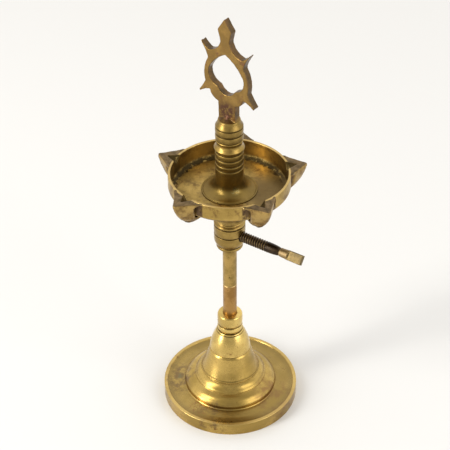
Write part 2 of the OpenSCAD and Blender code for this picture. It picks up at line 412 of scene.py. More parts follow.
def makeFoot(f):
    outline = (
        [(f["boreR"], f["topZ"]), (f["boreR"], f["boreZ"])]
        # hollow underside
        + bowed((8.2, f["boreZ"]), (f["ringR"] - 3, f["ringZ"] - 4.4), 0.4)
        + bowed((f["stepR"] - 1.5, 9.5), (f["lipR"] - 1, 4.9), -0.4)
        + [(35, 4.5), (36.4, 0), (f["rimR"], 0), (f["rimR"], f["rimH"] - 0.25),
           (f["rimR"] - 0.25, f["rimH"]), (f["rimR"] - 1.9, f["rimH"] - 0.02)]
        # sunk plate inside the raised rim
        + bowed((f["rimR"] - 2.3, f["rimH"] - 0.55), (f["rimR"] - 6.8, f["rimH"] - 0.92), -0.1, 10)
        + bowed((f["rimR"] - 7.3, f["rimH"] - 0.88), (f["lipR"] + 0.5, f["rimH"] - 0.3), 0.1, 8)
        # first domed step
        + bowed((f["lipR"], f["rimH"] + 0.2), (f["lipR"] - 0.9, f["rimH"] + 3.4), 0.45, 7)
        + bowed((f["lipR"] - 1.3, f["rimH"] + 3.75), (f["stepR"] + 0.5, 14.15), 0.45, 12)
        # second domed step
        + bowed((f["stepR"], 14.3), (f["stepR"] - 0.55, 15.5), 0.2, 4)
        + bowed((f["stepR"] - 0.8, 15.8), (f["ringR"] + 0.45, f["ringZ"] - 1.25), 0.42, 12)
        # bead between two fine grooves
        + [(f["ringR"] + 0.1, f["ringZ"] - 1.1)]
        + bowed((f["ringR"] + 0.3, f["ringZ"] - 0.85), (f["ringR"] + 0.05, f["ringZ"] + 0.15), 0.12, 4)
        + [(f["ringR"] - 0.35, f["ringZ"] + 0.3)]
        # flare up to the neck
        + bowed((f["ringR"] - 0.15, f["ringZ"] + 0.6), (f["topR"] + 0.1, f["topZ"] - 0.9), -0.2, 18)
        + [(f["topR"] - 0.3, f["topZ"] - 0.35), (f["topR"] - 0.6, f["topZ"])])
    look = likeTurned(
        packed=[f["ringZ"] + 0.3], packedDepth=0.4,
        spots=[
            {"at": (-1.7, -31.1, 7.5), "size": 9, "grain": 1.2, "edge": (0.50, 0.60),
             "colour": (0.30, 0.13, 0.05)},
            {"at": (-27, -15, 7.5), "size": 3.5, "grain": 6, "edge": (0.2, 0.5),
             "colour": (0.17, 0.17, 0.10)},
            {"at": (-27, -17, 7.5), "size": 18, "grain": 4, "edge": (0.42, 0.60),
             "colour": (0.20, 0.125, 0.06)},
            {"at": (10, -33, 7.5), "size": 15, "grain": 5, "edge": (0.46, 0.62),
             "colour": (0.20, 0.125, 0.05)},
            {"at": (32, 2, 7.5), "size": 20, "grain": 6, "edge": (0.42, 0.62), "colour": (0.30, 0.17, 0.06)},
        ])
    material, tree, parts = brassFinish("footBrass", look)
    # the rim's upper edge gets a painted highlight over rubbing wear: a brighter gold
    onRim = step(tree, parts["radius"], (f["rimR"] - 2.2) * mm, (f["rimR"] - 1.7) * mm)
    onEdge = step(tree, parts["along"], (f["rimH"] - 0.6) * mm, (f["rimH"] - 0.15) * mm)
    rimHighlight = calc(tree, "MULTIPLY", calc(tree, "MULTIPLY", onRim, onEdge), 0.5)
    # the sunk plate is browner, most of all along the rim
    onPlate = calc(tree, "MULTIPLY",
                   step(tree, parts["radius"], (f["lipR"] + 0.1) * mm, (f["lipR"] + 0.6) * mm),
                   step(tree, parts["radius"], (f["rimR"] - 2.1) * mm, (f["rimR"] - 2.5) * mm))
    nearRim = step(tree, parts["radius"], (f["rimR"] - 7) * mm, (f["rimR"] - 3) * mm)
    byRim = calc(tree, "MULTIPLY_ADD", nearRim, 0.35, 0.4)
    colour = tint(tree, calc(tree, "MULTIPLY", onPlate, byRim), parts["colour"], (0.24, 0.165, 0.055))
    tree.links.new(tint(tree, rimHighlight, colour, (0.66, 0.47, 0.17)), parts["skin"].inputs["Base Color"])
    piece = finishedPiece("foot", turned(outline, 176, 0.14), material, "foot", "foot_brass", "foot_plate")
    return evenShading(piece)


makeFoot(foot)

neck = {
    "spigotR": 4.8, "spigotH": 7.4,
    "bellR": 12.1, "bellH": 13.2, "waistR": 8.1,
    "bandR": 7.3, "topR": 4.7,
    "boreR": 4.03, "boreH": 20,
}


def makeNeck(n):
    foot0 = lowest("foot_neck") + n["spigotH"]
    top = highest("foot_neck")
    outline = (
        [(0, foot0 - n["spigotH"]), (n["spigotR"], foot0 - n["spigotH"]), (n["spigotR"], foot0),
         (n["bellR"] - 0.5, foot0), (n["bellR"], foot0 + 0.35)]
        + bowed((n["bellR"] - 0.02, foot0 + 0.9), (n["waistR"] - 0.05, foot0 + n["bellH"]), 0.62, 20)
        + [(n["waistR"] - 0.5, foot0 + n["bellH"] + 0.2), (n["waistR"] - 0.5, foot0 + n["bellH"] + 0.4)]
        + bowed((n["waistR"] - 0.1, foot0 + n["bellH"] + 0.55), (7.5, foot0 + 14.45), 0.14, 4)
        # a ring between fine grooves
        + [(6.75, foot0 + 14.6), (6.75, foot0 + 14.95)]
        + bowed((7.25, foot0 + 15.1), (7.2, foot0 + 18.2), 0.22, 8)
        + [(6.75, foot0 + 18.4), (6.75, foot0 + 18.75)]
        # plain band
        + [(n["bandR"] - 0.1, foot0 + 19.1)]
        + bowed((n["bandR"], foot0 + 19.4), (n["bandR"], top - 1.4), 0.12, 6)
        + bowed((n["bandR"] - 0.15, top - 0.9), (6.3, top - 0.15), 0.2, 4)
        + [(n["topR"], top), (n["boreR"], top), (n["boreR"], top - n["boreH"]), (0, top - n["boreH"])])
    material = brassFinish("neckBrass", likeTurned(
        gold=(0.74, 0.53, 0.175), film=(0.52, 0.37, 0.115), rough=(0.18, 0.36), filmSize=12,
        packed=[foot0 + 0.1, foot0 + n["bellH"] + 0.3, foot0 + 14.78, foot0 + 18.58]))[0]
    piece = finishedPiece("neck", turned(outline, 144, 0.12), material, "foot", "foot_brass", "foot_neck")
    return evenShading(piece)


makeNeck(neck)


rod = {"r": 4.0, "ease": 0.3, "waver": 0.035, "spigotR": 2.4, "spigotH": 8.6}


def makeRod(name, low, high, r, look, slot, node, spigot):
    # a drawn rod that has been handled: its side wavers by a few hundredths
    side = [(r["r"] - r["ease"], low), (r["r"], low + r["ease"])]
    count = 26
    for i in range(1, count):
        z = low + (high - low) * i / count
        side.append((r["r"] + r["waver"] * noise.noise(Vector((0, low * 0.1, z * 0.3))), z))
    side += [(r["r"], high - r["ease"]), (r["r"] - r["ease"], high)]
    if spigot:
        outline = [(0, low)] + side + [(r["spigotR"], high), (r["spigotR"], high + r["spigotH"]),
                                       (0, high + r["spigotH"])]
    else:
        outline = ([(0, low + 9.4), (r["spigotR"] + 0.03, low + 9.4), (r["spigotR"] + 0.03, low)]
                   + side + [(0, high)])
    material, tree, parts = brassFinish(name + "Brass", look)
    # a bright line where the two lengths are filed flush
    gap = calc(tree, "ABSOLUTE", calc(tree, "SUBTRACT", parts["along"], joinZ * mm))
    bright = calc(tree, "MULTIPLY", step(tree, gap, 0.55 * mm, 0.2 * mm), 0.7)
    wear(tree, parts, bright, (0.62, 0.46, 0.20))
    piece = finishedPiece(name, turned(outline, 96, 0.1), material, "foot", slot, node)
    return evenShading(piece)


rodLook = {"filmSize": 9, "filmEdge": (0.42, 0.58), "blotchSize": 3.5, "blotchEdge": (0.58, 0.70),
           "rings": 0.25, "ringWidth": 0.8, "rough": (0.30, 0.52), "pits": 0.8}
joinZ = lowest("upper_rod")
makeRod("lowerRod", lowest("lower_rod"), joinZ, rod,
        likeTurned(gold=(0.39, 0.225, 0.072), film=(0.29, 0.160, 0.046),
                   blotch=(0.15, 0.08, 0.02), **rodLook),
        "rod_copper_tone", "lower_rod", True)
makeRod("upperRod", joinZ, highest("upper_rod"), rod,
        likeTurned(gold=(0.42, 0.280, 0.088), film=(0.28, 0.19, 0.054),
                   blotch=(0.12, 0.095, 0.025), **rodLook),
        "rod_brass", "upper_rod", False)
print("foot, neck and rod are made")


collar = {"r": 8.8, "neckR": 4.9, "ringR": 7.4, "boreR": 4.06, "holeR": 3.06, "grooveDeep": 0.55}


def makeCollar(c):
    low, high = lowest("clamp_collar"), highest("clamp_collar")
    deep = c["grooveDeep"]
    outline = (
        [(c["boreR"], low), (c["neckR"], low), (c["neckR"] + 0.2, low + 1.2), (c["ringR"] - 0.5, low + 1.9)]
        # bottom ring and the groove over it
        + bowed((c["ringR"] - 0.1, low + 2.2), (c["ringR"] - 0.05, low + 3.8), 0.2, 6)
        + [(c["ringR"] - 0.5, low + 4.05), (c["ringR"] - 0.5, low + 4.35)]
        # body
        + bowed((c["ringR"] + 0.2, low + 4.7), (c["r"], low + 8.9), 0.4, 12)
        + bowed((c["r"], low + 10.2), (c["r"], low + 11.7), 0.03, 3)
        + [(c["r"] - deep, low + 11.95), (c["r"] - deep, low + 12.25)]
        + bowed((c["r"], low + 12.5), (c["r"], low + 17.45), 0.05, 6)
        + [(c["r"] - deep, low + 17.7), (c["r"] - deep, low + 18.0)]
        # top ring
        + bowed((c["r"] - 0.1, low + 18.25), (c["r"] - 0.35, low + 19.6), 0.3, 6)
        + [(c["r"] - 0.8, low + 19.9)]
        + bowed((c["r"] - 0.7, low + 20.1), (c["r"] - 0.9, high - 0.1), 0.15, 4)
        + [(c["r"] - 1.1, high), (c["boreR"], high)])
    look = likeTurned(gold=(0.40, 0.275, 0.082), film=(0.26, 0.172, 0.046),
                      filmEdge=(0.36, 0.56), rough=(0.26, 0.44),
                      packed=[low + 4.2, low + 12.1, low + 17.85])
    material = brassFinish("collarBrass", look)[0]
    piece = finishedPiece("collar", turned(outline, 128, 0.1), material,
                          "collar", "collar_brass", "clamp_collar")
    hole = bmesh.new()
    bmesh.ops.create_cone(hole, cap_ends=True, segments=64, radius1=c["holeR"] * mm, radius2=c["holeR"] * mm,
                          depth=12 * mm, matrix=layAlongX(9))
    carve(piece, hole)
    return evenShading(piece)


def layAlongX(x):
    # from a piece made up Z about its own middle to one along X at the screw's height
    height = (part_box("clamp_screw")[0].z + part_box("clamp_screw")[1].z) / 2
    return Matrix.Translation((x * mm, 0, height)) @ Matrix.Rotation(math.radians(90), 4, "Y")


makeCollar(collar)

screw = {"r": 3.0, "rootR": 2.35, "pitch": 1.5, "start": 4.05, "threadEnd": 25.3, "end": 33.2, "endR": 2.3,
         "pinR": 1.5, "pinEnd": 37.2, "stepsPerTurn": 40}


def makeScrew(s):
    # one pitch of the thread's outline, wound along the shank
    thread = bmesh.new()
    half = s["pitch"] / 2
    crest = [(0, s["rootR"]), (0.12, s["rootR"]), (half - 0.14, s["r"] - 0.03), (half, s["r"]),
             (half + 0.14, s["r"] - 0.03), (s["pitch"] - 0.12, s["rootR"]), (s["pitch"], s["rootR"])]
    line = [thread.verts.new((radius * mm, 0, x * mm)) for x, radius in crest]
    edges = [thread.edges.new(pair) for pair in zip(line, line[1:])]
    turns = int((s["threadEnd"] - s["start"]) / s["pitch"])
    steps = turns * s["stepsPerTurn"]
    bmesh.ops.spin(thread, geom=line + edges, cent=(0, 0, 0), axis=(0, 0, 1),
                   dvec=(0, 0, s["pitch"] / s["stepsPerTurn"] * mm),
                   angle=math.tau * turns, steps=steps, use_merge=False)
    bmesh.ops.remove_doubles(thread, verts=thread.verts, dist=5e-6)
    bmesh.ops.holes_fill(thread, edges=thread.edges, sides=0)
    bmesh.ops.triangulate(thread, faces=[f for f in thread.faces if len(f.verts) > 4])
    bmesh.ops.recalc_face_normals(thread, faces=thread.faces)
    bmesh.ops.translate(thread, verts=thread.verts, vec=(0, 0, (s["start"] + 0.4) * mm))
    shank = turned(
        [(0, s["start"]), (s["rootR"] - 0.3, s["start"]), (s["rootR"] - 0.1, s["start"] + 0.5),
         (s["rootR"] - 0.1, s["threadEnd"] - 1.2)]
        + bowed((s["r"] - 0.1, s["threadEnd"] - 0.4), (s["endR"] + 0.25, s["end"] - 1.2), 0.15, 8)
        + bowed((s["endR"] + 0.15, s["end"] - 0.9), (s["endR"] - 0.2, s["end"]), 0.1, 4)
        + [(s["pinR"], s["end"]), (s["pinR"], s["pinEnd"]), (0, s["pinEnd"])], 72, 0.1)
    whole = joined(thread, shank)
    whole.transform(layAlongX(0))
    material, tree, parts = brassFinish(
        "oiledScrew",
        likeTurned(gold=(0.060, 0.038, 0.018), film=(0.028, 0.018, 0.010), filmSize=5,
                   blotch=(0.020, 0.012, 0.010), blotchSize=4, rings=0.15, grime=(0.010, 0.006, 0.003),
                   grimeReach=0.8, grimeEdge=(0.85, 0.45), rough=(0.34, 0.5), lacquer=0.15),
        "X", (0, 0, (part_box("clamp_screw")[0].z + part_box("clamp_screw")[1].z) / 2))
    # worn thread crests show brass
    worn = step(tree, parts["radius"], (s["r"] - 0.14) * mm, (s["r"] - 0.02) * mm)
    inThread = step(tree, parts["along"], (s["threadEnd"] - 0.3) * mm, (s["threadEnd"] - 1.2) * mm)
    mask = calc(tree, "MULTIPLY", calc(tree, "MULTIPLY", worn, inThread), 0.8)
    wear(tree, parts, mask, (0.22, 0.145, 0.06))
    piece = finishedPiece("clampScrew", whole, material, "screw", "dark_screw", "clamp_screw")
    return evenShading(piece)


makeScrew(screw)

key = {"start": 33.25, "collarLength": 5.8, "collarR": 2.65, "length": 14.4, "tabW": 5.5, "tabT": 3.0,
       "turn": 51}   # degrees that the flat tab is turned up from level


def makeKey(k):
    barrel = turned([(0, 0), (k["collarR"] - 0.5, 0), (k["collarR"] - 0.25, 0.3)]
                    + bowed((k["collarR"] - 0.2, 0.6), (k["collarR"], k["collarLength"] - 0.3), 0.06, 6)
                    + [(k["collarR"] - 0.3, k["collarLength"]), (0, k["collarLength"])], 64, 0.1)
    tab = bmesh.new()
    made = bmesh.ops.create_cube(tab, size=1)["verts"]
    long = k["length"] - k["collarLength"] + 1
    bmesh.ops.scale(tab, verts=made, vec=(k["tabT"] * mm, k["tabW"] * mm, long * mm))
    bmesh.ops.translate(tab, verts=made, vec=(0, 0, (k["length"] - long / 2) * mm))
    end = [v for v in tab.verts if v.co.z > (k["length"] - 1) * mm]
    bmesh.ops.scale(tab, verts=end, vec=(0.86, 1.03, 1))
    bmesh.ops.bevel(tab, geom=tab.edges[:], offset=0.35 * mm, offset_type="OFFSET", segments=3, profile=0.5,
                    affect="EDGES", clamp_overlap=True, material=-1)
    bmesh.ops.rotate(tab, verts=tab.verts, cent=(0, 0, 0),
                     matrix=Matrix.Rotation(math.radians(k["turn"]), 3, "Z"))
    whole = joined(barrel, tab)
    whole.transform(layAlongX(k["start"]))
    look = likeTurned(gold=(0.23, 0.165, 0.065), film=(0.16, 0.12, 0.055), filmSize=6,
                      blotch=(0.10, 0.075, 0.02),
                      blotchSize=1.6, blotchEdge=(0.54, 0.64), rings=0.1, rough=(0.42, 0.62), pits=1.2,
                      grimeReach=0.8)
    material, tree, parts = brassFinish(
        "filedKey", look, "X", (0, 0, (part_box("clamp_screw")[0].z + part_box("clamp_screw")[1].z) / 2))
    # the round collar is paler than the corroded tab
    onCollar = step(tree, parts["along"], (k["start"] + k["collarLength"] + 0.4) * mm,
                    (k["start"] + k["collarLength"] - 0.8) * mm)
    wear(tree, parts, calc(tree, "MULTIPLY", onCollar, 0.75), (0.33, 0.225, 0.105))
    piece = finishedPiece("screwKey", whole, material, "key", "key_brass", "screw_key")
    castSkin(piece, 0.14, 3)
    return piece


makeKey(key)
print("collar, screw and key are made")


dish = {
    "inR": 32.0, "outR": 33.5, "floorAbove": 19.9,   # floor above the node's underside
    "boreR": 4.06, "socketR": 6.03, "socketH": 5.1,
    "spouts": 5, "firstSpout": 45,
    "notchR": 38.3, "notchDeep": 3.9, "notchSplay": 0.9,
    "ribTurn": 16, "ribH": 8.8, "ribW": 2.9, "ribOut": 1.3,
    # a spout's level plans: drop, then (radius, half width) at the root, behind the shoulder,
    # at the shoulder, on the cheek and beside the tip, and the tip's radius
    "plans": [
        (0.0, (32.6, 9.0), (33.6, 8.9), (35.2, 7.2), (39.6, 3.3), (42.7, 0.9), 43.2),
        (1.3, (32.6, 8.7), (33.6, 8.5), (35.3, 7.2), (39.7, 3.4), (42.8, 1.0), 43.3),
        (2.4, (32.6, 6.6), (33.8, 6.9), (35.5, 7.0), (39.6, 3.5), (42.4, 1.1), 43.0),
        (5.0, (32.6, 6.0), (33.8, 6.6), (35.4, 6.7), (39.0, 3.6), (41.4, 1.3), 42.0),
        (8.2, (32.5, 5.6), (33.6, 6.1), (34.9, 6.1), (38.0, 3.3), (39.8, 1.3), 40.4),
        (11.0, (31.9, 5.2), (32.8, 5.4), (34.0, 5.3), (36.4, 2.9), (37.8, 1.2), 38.4),
        (12.2, (27.5, 4.6), (30.5, 4.8), (32.8, 4.7), (35.4, 2.6), (36.8, 1.1), 37.3),
        (14.6, (24.5, 3.4), (28.0, 3.6), (31.0, 3.4), (33.6, 1.9), (34.6, 0.9), 35.0),
        (16.4, (22.5, 1.4), (26.0, 1.6), (29.5, 1.6), (31.8, 1.0), (32.5, 0.5), 32.8)],
}


def spoutTurns(d):
    return [math.radians(d["firstSpout"] + i * 360 / d["spouts"]) for i in range(d["spouts"])]


def wickNotches(d, rim):
    # five wedges whose keels slant up and out to a point on each spout
    wedges = bmesh.new()
    inner = d["inR"] - 3
    slope = d["notchDeep"] / (d["notchR"] - d["inR"])
    deep = (d["notchR"] - inner) * slope
    for turn in spoutTurns(d):
        above = 3
        corners = [wedges.verts.new((x * mm, y * mm, z * mm)) for x, y, z in (
            (inner, 0, -deep), (inner, (deep + above) * d["notchSplay"], above),
            (inner, -(deep + above) * d["notchSplay"], above),
            (d["notchR"], 0, 0), (d["notchR"], above * d["notchSplay"], above),
            (d["notchR"], -above * d["notchSplay"], above))]
        bmesh.ops.convex_hull(wedges, input=corners)
        bmesh.ops.translate(wedges, verts=corners, vec=(0, 0, rim * mm))
        bmesh.ops.rotate(wedges, verts=corners, cent=(0, 0, 0), matrix=Matrix.Rotation(turn, 3, "Z"))
    bmesh.ops.recalc_face_normals(wedges, faces=wedges.faces)
    return wedges


def spoutSolid(d, rim):
    # a prow lofted down through the level plans
    prow = bmesh.new()
    loops = []
    for drop, *side, tip in d["plans"]:
        outline = [(r, -half) for r, half in side] + [(tip, 0)] + [(r, half) for r, half in reversed(side)]
        verts = [prow.verts.new((r * mm, y * mm, (rim - drop) * mm)) for r, y in outline]
        loops.append([prow.edges.new(pair) for pair in zip(verts, verts[1:] + verts[:1])])
    for upper, lower in zip(loops, loops[1:]):
        bmesh.ops.bridge_loops(prow, edges=upper + lower)
    bmesh.ops.contextual_create(prow, geom=loops[0])
    bmesh.ops.contextual_create(prow, geom=loops[-1])
    return prow


def ribSolid(d, rim, side):
    # a small pointed rib beside the spout, widest at the rim
    rib = bmesh.new()
    half = d["ribW"] / 2
    corners = [rib.verts.new((x * mm, y * mm, (rim + z) * mm)) for x, y, z in (
        (d["outR"] - 0.8, -half, 0), (d["outR"] - 0.8, half, 0), (d["outR"] + d["ribOut"], 0, 0),
        (d["outR"] + d["ribOut"] * 0.75, 0, -d["ribH"] * 0.55), (d["outR"] - 0.8, 0, -d["ribH"]))]
    bmesh.ops.convex_hull(rib, input=corners)
    bmesh.ops.rotate(rib, verts=rib.verts, cent=(0, 0, 0),
                     matrix=Matrix.Rotation(math.radians(side * d["ribTurn"]), 3, "Z"))
    return rib


def dishFinish(name, d, rim, floor, onSpouts):
    gold, film, filmSize = (((0.40, 0.272, 0.092), (0.26, 0.170, 0.058), 6) if onSpouts
                            else ((0.47, 0.325, 0.098), (0.34, 0.232, 0.064), 14))
    look = likeTurned(gold=gold, film=film, filmSize=filmSize, filmEdge=(0.38, 0.60),
                      blotch=(0.17, 0.10, 0.035), blotchSize=6, blotchEdge=(0.50, 0.68),
                      grimeReach=2.4, grimeEdge=(0.72, 0.25), grimeDepth=0.9, rings=0.35, ringWidth=0.7,
                      rough=(0.30, 0.55), pits=1.4, pitSize=1.1, lacquer=0.06, ownShade=False)
    material, tree, parts = brassFinish(name, look)
    colour, point, rough = parts["colour"], parts["point"], parts["rough"]
    up = add(tree, "SeparateXYZ", {"Vector": add(tree, "NewGeometry").outputs["Normal"]}).outputs["Z"]
    # how far round a point is from the nearest spout's middle, and how far beside it
    place = add(tree, "SeparateXYZ", {"Vector": point})
    turn = calc(tree, "ARCTAN2", place.outputs["Y"], place.outputs["X"])
    half = math.pi / d["spouts"]
    off = calc(tree, "WRAP", calc(tree, "SUBTRACT", turn, math.radians(d["firstSpout"])), half, -half)
    beside = calc(tree, "ABSOLUTE", calc(tree, "MULTIPLY", parts["radius"], calc(tree, "SINE", off)))
    # the wick's channel is black with soot and oil
    channelHalf = calc(tree, "MULTIPLY", calc(tree, "SUBTRACT", (d["notchR"] + 0.3) * mm, parts["radius"]),
                       d["notchDeep"] * d["notchSplay"] / (d["notchR"] - d["inR"]))
    channel = calc(tree, "MULTIPLY", step(tree, calc(tree, "SUBTRACT", channelHalf, beside), 0.0, 0.3 * mm),
                   calc(tree, "MULTIPLY", step(tree, up, 0.97, 0.88),
                        step(tree, parts["radius"], (d["inR"] - 0.1) * mm, (d["inR"] + 0.05) * mm)))
    colour = tint(tree, calc(tree, "MULTIPLY", channel, 0.85), colour, (0.035, 0.024, 0.008))
    # between the spout and its rib the recess is painted near-black: painted shade over a brown-purple,
    # unpolished casting
    recess = calc(tree, "MULTIPLY", step(tree, beside, 5.8 * mm, 7.0 * mm),
                  step(tree, beside, 10.8 * mm, 9.6 * mm))
    outside = calc(tree, "MULTIPLY", step(tree, up, 0.6, 0.3),
                   step(tree, parts["radius"], (d["outR"] - 0.2) * mm, (d["outR"] - 0.05) * mm))
    recess = calc(tree, "MULTIPLY", calc(tree, "MULTIPLY", recess, outside),
                  step(tree, parts["radius"], (d["outR"] + 2.7) * mm, (d["outR"] + 0.9) * mm))
    recess = calc(tree, "MULTIPLY", recess, step(tree, grain(tree, point, 4, 4.0, 0.7), 0.30, 0.50))
    colour = tint(tree, calc(tree, "MULTIPLY", recess, 0.88), colour, (0.070, 0.040, 0.027))
    if onSpouts:
        # tops are left rough and brown from the mould, noses are filed bright
        top = calc(tree, "MULTIPLY", step(tree, up, 0.6, 0.9),
                   step(tree, parts["along"], (rim - 3) * mm, (rim - 1) * mm))
        brown = tint(tree, step(tree, grain(tree, point, 4, 5.0, 0.7), 0.35, 0.62),
                     (0.095, 0.066, 0.034), (0.22, 0.150, 0.074))
        colour = tint(tree, calc(tree, "MULTIPLY", calc(tree, "MULTIPLY", top, 0.9),
                                 calc(tree, "SUBTRACT", 1.0, channel)), colour, brown)
        rough = calc(tree, "MULTIPLY_ADD", top, 0.15, rough)
    else:
        # old oil: a black-brown ring where the floor meets the wall
        broken = grain(tree, point, 3.2, 6.0, 0.78)
        reach = add(tree, "MapRange", {"Value": broken, "From Min": 0.3, "From Max": 0.7,
                                       "To Min": 31.4 * mm, "To Max": 26.2 * mm}).outputs["Result"]
        ring = step(tree, calc(tree, "SUBTRACT", parts["radius"], reach), -0.5 * mm, 0.9 * mm)
        climb = calc(tree, "MULTIPLY_ADD", broken, 5 * mm, parts["along"])
        low = step(tree, climb, (floor + 5.0) * mm, (floor + 3.4) * mm)
        inside = step(tree, parts["radius"], (d["inR"] + 0.25) * mm, (d["inR"] + 0.05) * mm)
        old = calc(tree, "MULTIPLY", calc(tree, "MULTIPLY", ring, low), inside)
        colour = tint(tree, calc(tree, "MULTIPLY", old, 0.93), colour,
                      tint(tree, grain(tree, point, 1.5, 4.0, 0.7),
                           (0.006, 0.004, 0.001), (0.060, 0.038, 0.012)))
        rough = calc(tree, "MULTIPLY_ADD", old, 0.2, rough)
        # the floor is mottled where oil has dried
        mottle = calc(tree, "MULTIPLY", step(tree, grain(tree, point, 5, 6.0, 0.75), 0.46, 0.62),
                      calc(tree, "MULTIPLY", inside, step(tree, up, 0.8, 0.95)))
        colour = tint(tree, calc(tree, "MULTIPLY", mottle, 0.6), colour, (0.17, 0.112, 0.042))
        # a broad patch of the floor is darker
        floorDarkPatch = calc(tree, "MULTIPLY", patch(tree, point, (21, 9, floor), 24),
                     calc(tree, "MULTIPLY", inside, 0.9))
        colour = tint(tree, floorDarkPatch, colour, (0.15, 0.098, 0.034))
        # and the wall above it is browned: painted shade with grime on the inner wall
        wallShadeGrime = calc(tree, "MULTIPLY", calc(tree, "MULTIPLY", inside, step(tree, up, 0.5, 0.2)), 0.55)
        colour = tint(tree, wallShadeGrime, colour, (0.17, 0.108, 0.032))
        # the thin lip gets a painted highlight over rubbing wear: a brighter gold
        lipHighlight = step(tree, parts["along"], (rim - 0.5) * mm, (rim - 0.15) * mm)
        clear = calc(tree, "SUBTRACT", 0.6, channel)
        colour = tint(tree, calc(tree, "MULTIPLY", lipHighlight, clear), colour, (0.66, 0.47, 0.18))
    tree.links.new(colour, parts["skin"].inputs["Base Color"])
    tree.links.new(rough, parts["skin"].inputs["Roughness"])
    return material


def makeDish(d):
    low, rim = lowest("oil_dish"), highest("oil_dish")
    floor = low + d["floorAbove"]
    outline = (
        [(d["boreR"], low), (8.0, low), (8.4, low + 0.3)]
        # cove and ring under the dish
        + bowed((8.45, low + 0.5), (8.6, low + 3.1), -0.35, 6)
        + [(9.2, low + 3.5)]
        + bowed((9.4, low + 3.8), (9.4, low + 5.2), 0.12, 4)
        + bowed((9.5, low + 5.6), (17, floor - 5.6), -1.4, 12)
        + bowed((17.1, floor - 5.57), (31.5, floor + 1.3), 0.8, 16)
        + bowed((31.9, floor + 1.7), (d["outR"], floor + 3.5), 0.4, 5)
        + [(d["outR"], floor + 6.5), (d["outR"], rim - 0.45), (d["outR"] - 0.3, rim - 0.05),
           (d["outR"] - 0.75, rim), (d["inR"] + 0.2, rim - 0.05), (d["inR"], rim - 0.4), (d["inR"], rim - 4),
           (d["inR"], floor + 2.8)]
        + bowed((d["inR"] - 0.02, floor + 2.4), (d["inR"] - 2.3, floor), -0.6, 7)
        + [(24, floor - 0.05), (16, floor - 0.05), (d["socketR"], floor),
           (d["socketR"], floor - d["socketH"]), (d["boreR"], floor - d["socketH"])])
    bowl = finishedPiece("oilDish", turned(outline, 200, 0.1), dishFinish("dishBrass", d, rim, floor, False),
                         "tray", "dish_brass", "oil_dish")
    carve(bowl, wickNotches(d, rim))
    evenShading(bowl)

    sets = []
    for turn in spoutTurns(d):
        group = joined(spoutSolid(d, rim), ribSolid(d, rim, 1), ribSolid(d, rim, -1))
        bmesh.ops.rotate(group, verts=group.verts, cent=(0, 0, 0), matrix=Matrix.Rotation(turn, 3, "Z"))
        sets.append(group)
    solids = joined(*sets)
    bmesh.ops.recalc_face_normals(solids, faces=solids.faces)
    spouts = finishedPiece("wickSpouts", solids, dishFinish("castBrass", d, rim, floor, True),
                           "tray", "dish_brass", "oil_dish")
    carve(spouts, wickNotches(d, rim))
    castSkin(spouts, 0.3, 3, 0.08)
    return bowl, spouts


makeDish(dish)
print("dish and spouts are made")

column = {
    "boreR": 4.06, "spigotR": 6.0, "spigotH": 5.0, "flangeR": 15.5, "r": 7.7,
    "grooves": (15.4, 18.5, 22.1, 25.6), "grooveDeep": 0.6, "grooveW": 0.42,
    "ringZ": 27.5, "ringR": 8.15,
}


def makeColumn(c):
    low = lowest("hub_column") + c["spigotH"]
    top = highest("hub_column")
    outline = (
        [(c["boreR"], low - c["spigotH"]), (c["spigotR"], low - c["spigotH"]), (c["spigotR"], low + 0.02),
         (c["flangeR"], low + 0.02)]
        # fine double line on the flange
        + [(c["flangeR"] - 0.05, low + 0.4), (c["flangeR"] - 0.35, low + 0.5),
           (c["flangeR"] - 0.6, low + 0.35), (c["flangeR"] - 0.85, low + 0.35),
           (c["flangeR"] - 1.1, low + 0.62), (c["flangeR"] - 1.4, low + 0.65)]
        + bowed((c["flangeR"] - 1.6, low + 0.7), (c["r"], low + 7.6), -2.1, 20))
    at = low + 7.6
    for groove in c["grooves"]:
        z = low + groove
        outline += bowed((c["r"], at + 0.35), (c["r"], z - c["grooveW"]), 0.07 if at > low + 10 else 0.02, 6)
        outline += [(c["r"] - c["grooveDeep"], z - 0.12), (c["r"] - c["grooveDeep"], z + 0.12)]
        at = z + c["grooveW"] - 0.35
    outline += ([(c["r"] + 0.05, at + 0.35), (c["r"] + 0.1, low + c["ringZ"] - 0.9)]
                + bowed((c["ringR"] - 0.1, low + c["ringZ"] - 0.7),
                        (c["ringR"] - 0.1, low + c["ringZ"] + 0.7), 0.25, 6)
                + bowed((c["r"] - 0.15, low + 28.7), (c["r"] - 0.15, top - 0.5), -0.5, 10)
                + [(c["r"] - 0.2, top - 0.2), (c["r"] - 0.45, top), (c["boreR"], top)])
    look = likeTurned(gold=(0.42, 0.285, 0.080), film=(0.28, 0.185, 0.046), filmSize=10,
                      blotch=(0.18, 0.11, 0.03),
                      rough=(0.28, 0.48), grimeReach=1.2,
                      packed=[low + groove for groove in c["grooves"]],
                      spots=[{"at": (7.1, -4.6, low + 3.5), "size": 3.2, "grain": 0.8, "edge": (0.48, 0.58),
                              "colour": (0.36, 0.38, 0.20)},
                             {"at": (7.6, -4.2, low + 4.5), "size": 2.6, "grain": 1.2, "edge": (0.52, 0.60),
                              "colour": (0.10, 0.11, 0.04)}])
    material, tree, parts = brassFinish("columnBrass", look)
    # the column is darker towards its foot
    climb = calc(tree, "MULTIPLY_ADD", grain(tree, parts["point"], 6, 4.0, 0.6), 8 * mm, parts["along"])
    lowDarkening = calc(tree, "MULTIPLY", step(tree, climb, (low + 14) * mm, (low + 5) * mm), 0.8)
    wear(tree, parts, lowDarkening, (0.19, 0.125, 0.030))
    piece = finishedPiece("column", turned(outline, 144, 0.09), material, "tray", "hub_brass", "hub_column")
    return evenShading(piece)


makeColumn(column)
print("column is made")


